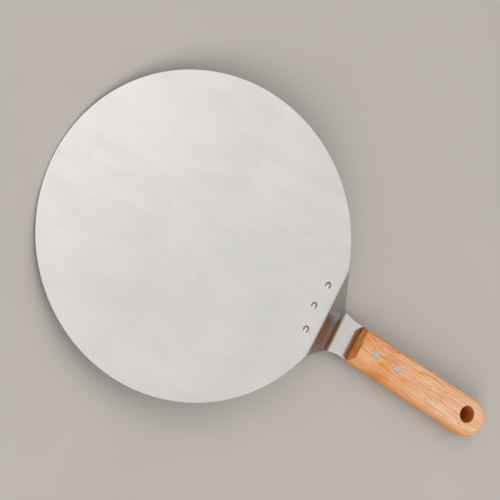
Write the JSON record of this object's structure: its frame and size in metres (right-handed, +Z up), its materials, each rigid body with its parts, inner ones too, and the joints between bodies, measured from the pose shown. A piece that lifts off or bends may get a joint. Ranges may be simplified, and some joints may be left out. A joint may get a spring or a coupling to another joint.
{
  "type": "pizza peel",
  "caption": "Round steel pizza peel with a cranked neck and a pinned wooden handle, lying with its handle flat and its blade sloping to the surface.",
  "frame": {"origin": "on the surface the peel lies on, at the middle of its length and width", "axes": "+X from the blade to the handle's end, along the handle; +Z up from the surface; the peel is symmetric about the XZ plane"},
  "size_m": [0.445, 0.255, 0.0459],
  "materials": {
    "blade_steel": "fine satin stainless steel with a soft mottle",
    "neck_steel": "polished stainless steel with light rolling grain",
    "rivet_steel": "plain domed stainless rivet",
    "handle_wood": "light hardwood with a thin satin lacquer",
    "pin_aluminium": "ground flush with the wood"
  },
  "bodies": {
    "root": {"blade": "blade_steel", "neck": "neck_steel", "blade_rivet_left": "rivet_steel", "blade_rivet_middle": "rivet_steel", "blade_rivet_right": "rivet_steel", "handle": "handle_wood", "handle_pin_front": "pin_aluminium", "handle_pin_rear": "pin_aluminium"}
  },
  "joints": []
}
